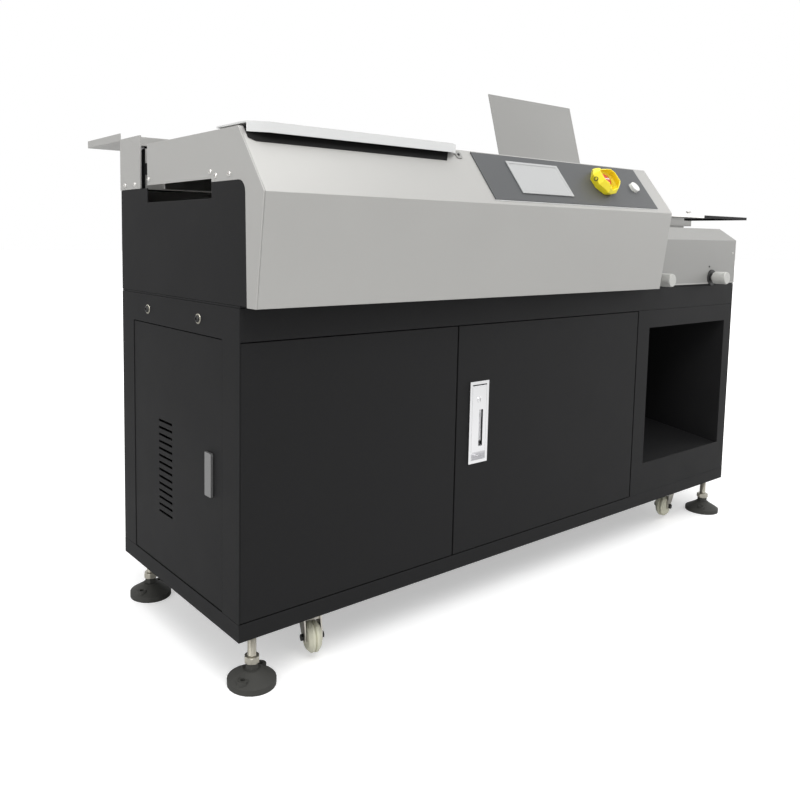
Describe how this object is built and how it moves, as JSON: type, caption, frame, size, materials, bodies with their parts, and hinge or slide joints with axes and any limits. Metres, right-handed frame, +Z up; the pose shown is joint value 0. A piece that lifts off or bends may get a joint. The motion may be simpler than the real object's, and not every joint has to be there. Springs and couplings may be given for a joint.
{
  "type": "thermal binding machine",
  "caption": "Floor-standing hot-melt book binder with a sloping control hood, hinged clamp lid and doors, a travelling clamp, cover table and book bin, on levelling feet and castors.",
  "frame": {"origin": "centre of the machine's box, on the floor under the foot pads", "axes": "+X along the machine from the clamp end to the cover table, +Y from the front to the back, +Z up"},
  "size_m": [1.58, 0.64, 1.0276],
  "materials": {
    "black": "fine-textured black powder coat",
    "silver": "fine-textured silver-grey paint",
    "pale": "smooth pale grey paint",
    "slate": "dark grey membrane panel",
    "steel": "ground steel",
    "zinc": "zinc plate",
    "chrome": "bright chrome plate",
    "aluminium": "machined aluminium",
    "cream": "cream nylon",
    "rubber": "dark rubber on a plated stud",
    "yellow": "yellow moulded guard",
    "red": "red moulded button",
    "white": "white button in a metal bezel",
    "grey": "grey painted or die-cast metal"
  },
  "bodies": {
    "cabinet": {"base_pan": "black", "cabinet_frame": "black", "deck_plate": "black", "right_side_panel": "black", "rear_panel": "black", "bin_front_panel": "black", "bin_liner": "black", "left_upper_panel": "black", "front_hood": "silver", "left_cheek": "silver", "rear_cover": "silver", "rear_tray": "silver", "control_panel": "slate", "touchscreen": "pale", "estop_guard": "yellow", "nip_housing": "silver", "cover_table": "black", "left_end_plate": "aluminium", "right_end_plate": "aluminium", "upper_guide_rod": "steel", "lower_guide_rod": "steel", "drive_motor": "black", "glue_tank": "aluminium", "cutter_motor": "black", "electrical_box": "grey"},
    "front_left_foot": {"front_left_foot": "rubber"},
    "front_right_foot": {"front_right_foot": "rubber"},
    "rear_left_foot": {"rear_left_foot": "rubber"},
    "rear_right_foot": {"rear_right_foot": "rubber"},
    "front_left_castor": {"front_left_castor_fork": "zinc"},
    "front_left_wheel": {"front_left_castor_wheel": "cream"},
    "front_right_castor": {"front_right_castor_fork": "zinc"},
    "front_right_wheel": {"front_right_castor_wheel": "cream"},
    "rear_left_castor": {"rear_left_castor_fork": "zinc"},
    "rear_left_wheel": {"rear_left_castor_wheel": "cream"},
    "rear_right_castor": {"rear_right_castor_fork": "zinc"},
    "rear_right_wheel": {"rear_right_castor_wheel": "cream"},
    "left_door": {"left_door": "black"},
    "right_door": {"right_door": "black", "latch_housing": "chrome"},
    "latch_paddle": {"latch_paddle": "chrome"},
    "left_side_door": {"left_side_door": "black"},
    "side_lock_lever": {"side_lock_lever": "grey"},
    "estop_button": {"estop_button": "red"},
    "start_button": {"start_button": "white"},
    "carriage": {"clamp_carriage": "black", "clamp_cover": "silver"},
    "front_clamp_jaw": {"front_clamp_jaw": "steel"},
    "lid": {"lid": "pale"},
    "carriage_screw": {"carriage_screw": "steel"},
    "cutter_disc": {"cutter_disc": "steel"},
    "first_glue_roller": {"first_glue_roller": "steel"},
    "second_glue_roller": {"second_glue_roller": "steel"},
    "left_knob": {"left_knob": "steel"},
    "right_knob": {"right_knob": "steel"},
    "table_guide_bar": {"table_guide_bar": "steel"},
    "backrest": {"backrest": "silver"},
    "drop_flap": {"drop_flap": "aluminium"},
    "front_nip_jaw": {"front_nip_jaw": "steel"},
    "rear_nip_jaw": {"rear_nip_jaw": "steel"}
  },
  "joints": [
    {"name": "front_left_foot_turn", "type": "hinge", "parent": "cabinet", "child": "front_left_foot", "pos_m": [-0.748, -0.232, 0.084], "axis": [0, 0, 1], "continuous": true},
    {"name": "front_right_foot_turn", "type": "hinge", "parent": "cabinet", "child": "front_right_foot", "pos_m": [0.568, -0.232, 0.084], "axis": [0, 0, 1], "continuous": true},
    {"name": "rear_left_foot_turn", "type": "hinge", "parent": "cabinet", "child": "rear_left_foot", "pos_m": [-0.748, 0.13, 0.084], "axis": [0, 0, 1], "continuous": true},
    {"name": "rear_right_foot_turn", "type": "hinge", "parent": "cabinet", "child": "rear_right_foot", "pos_m": [0.568, 0.13, 0.084], "axis": [0, 0, 1], "continuous": true},
    {"name": "front_left_castor_swivel", "type": "hinge", "parent": "cabinet", "child": "front_left_castor", "pos_m": [-0.626, -0.206, 0.084], "axis": [0, 0, 1], "continuous": true},
    {"name": "front_left_wheel_roll", "type": "hinge", "parent": "front_left_castor", "child": "front_left_wheel", "pos_m": [-0.63185, -0.22513, 0.035], "axis": [0.9563, -0.2924, 0], "continuous": true},
    {"name": "front_right_castor_swivel", "type": "hinge", "parent": "cabinet", "child": "front_right_castor", "pos_m": [0.446, -0.206, 0.084], "axis": [0, 0, 1], "continuous": true},
    {"name": "front_right_wheel_roll", "type": "hinge", "parent": "front_right_castor", "child": "front_right_wheel", "pos_m": [0.4263, -0.20947, 0.035], "axis": [0.1736, -0.9848, 0], "continuous": true},
    {"name": "rear_left_castor_swivel", "type": "hinge", "parent": "cabinet", "child": "rear_left_castor", "pos_m": [-0.626, 0.104, 0.084], "axis": [0, 0, 1], "continuous": true},
    {"name": "rear_left_wheel_roll", "type": "hinge", "parent": "rear_left_castor", "child": "rear_left_wheel", "pos_m": [-0.61453, 0.08762, 0.035], "axis": [0.8192, 0.5736, 0], "continuous": true},
    {"name": "rear_right_castor_swivel", "type": "hinge", "parent": "cabinet", "child": "rear_right_castor", "pos_m": [0.446, 0.104, 0.084], "axis": [0, 0, 1], "continuous": true},
    {"name": "rear_right_wheel_roll", "type": "hinge", "parent": "rear_right_castor", "child": "rear_right_wheel", "pos_m": [0.43916, 0.12279, 0.035], "axis": [-0.9397, -0.342, 0], "continuous": true},
    {"name": "left_door_hinge", "type": "hinge", "parent": "cabinet", "child": "left_door", "pos_m": [-0.7802, -0.257, 0.1125], "axis": [0, 0, -1], "range_deg": [0, 95]},
    {"name": "right_door_hinge", "type": "hinge", "parent": "cabinet", "child": "right_door", "pos_m": [0.1945, -0.257, 0.1125], "axis": [0, 0, 1], "range_deg": [0, 95]},
    {"name": "latch_paddle_hinge", "type": "hinge", "parent": "right_door", "child": "latch_paddle", "pos_m": [-0.296, -0.258, 0.4092], "axis": [-1, 0, 0], "range_deg": [0, 50]},
    {"name": "left_side_door_hinge", "type": "hinge", "parent": "cabinet", "child": "left_side_door", "pos_m": [-0.784, 0.1035, 0.1125], "axis": [0, 0, -1], "range_deg": [0, 100]},
    {"name": "side_lock_lever_turn", "type": "hinge", "parent": "left_side_door", "child": "side_lock_lever", "pos_m": [-0.7853, -0.1715, 0.3365], "axis": [1, 0, 0], "range_deg": [0, 90]},
    {"name": "estop_button_press", "type": "slide", "parent": "cabinet", "child": "estop_button", "axis": [0, 0.8011, -0.5986], "range_m": [0, 0.005], "stiffness_N_per_m": 1200},
    {"name": "start_button_press", "type": "slide", "parent": "cabinet", "child": "start_button", "axis": [0, 0.8011, -0.5986], "range_m": [0, 0.003], "stiffness_N_per_m": 1000},
    {"name": "carriage_slide", "type": "slide", "parent": "cabinet", "child": "carriage", "axis": [1, 0, 0], "range_m": [0, 0.98]},
    {"name": "front_clamp_jaw_slide", "type": "slide", "parent": "carriage", "child": "front_clamp_jaw", "axis": [0, 1, 0], "range_m": [0, 0.03]},
    {"name": "lid_hinge", "type": "hinge", "parent": "carriage", "child": "lid", "pos_m": [-0.581, -0.175, 0.817], "axis": [-1, 0, 0], "range_deg": [0, 100]},
    {"name": "carriage_screw_turn", "type": "hinge", "parent": "cabinet", "child": "carriage_screw", "pos_m": [-0.782, 0.122, 0.789], "axis": [1, 0, 0], "continuous": true},
    {"name": "cutter_disc_turn", "type": "hinge", "parent": "cabinet", "child": "cutter_disc", "pos_m": [-0.296, 0.06, 0.738], "axis": [0, 0, 1], "continuous": true},
    {"name": "first_glue_roller_turn", "type": "hinge", "parent": "cabinet", "child": "first_glue_roller", "pos_m": [-0.116, 0.004, 0.708], "axis": [0, 1, 0], "continuous": true},
    {"name": "second_glue_roller_turn", "type": "hinge", "parent": "cabinet", "child": "second_glue_roller", "pos_m": [-0.036, 0.004, 0.708], "axis": [0, 1, 0], "continuous": true},
    {"name": "left_knob_turn", "type": "hinge", "parent": "cabinet", "child": "left_knob", "pos_m": [0.262, -0.258, 0.587], "axis": [0, 1, 0], "continuous": true},
    {"name": "right_knob_turn", "type": "hinge", "parent": "cabinet", "child": "right_knob", "pos_m": [0.498, -0.258, 0.587], "axis": [0, 1, 0], "continuous": true},
    {"name": "table_guide_bar_slide", "type": "slide", "parent": "cabinet", "child": "table_guide_bar", "axis": [1, 0, 0], "range_m": [0, 0.18]},
    {"name": "backrest_hinge", "type": "hinge", "parent": "cabinet", "child": "backrest", "pos_m": [0.326, 0.103, 0.8375], "axis": [1, 0, 0], "range_deg": [0, 105]},
    {"name": "drop_flap_hinge", "type": "hinge", "parent": "cabinet", "child": "drop_flap", "pos_m": [0.409, 0.048, 0.725], "axis": [-1, 0, 0], "range_deg": [0, 80]},
    {"name": "front_nip_jaw_slide", "type": "slide", "parent": "cabinet", "child": "front_nip_jaw", "axis": [0, 1, 0], "range_m": [0, 0.016]},
    {"name": "rear_nip_jaw_slide", "type": "slide", "parent": "cabinet", "child": "rear_nip_jaw", "axis": [0, 1, 0], "range_m": [-0.016, 0]}
  ],
  "couplings": [
    {"joint": "carriage_screw_turn", "follows": "carriage_slide", "rad_per_m": 314.16},
    {"joint": "second_glue_roller_turn", "follows": "first_glue_roller_turn", "ratio": 1},
    {"joint": "rear_nip_jaw_slide", "follows": "front_nip_jaw_slide", "ratio": -1}
  ]
}
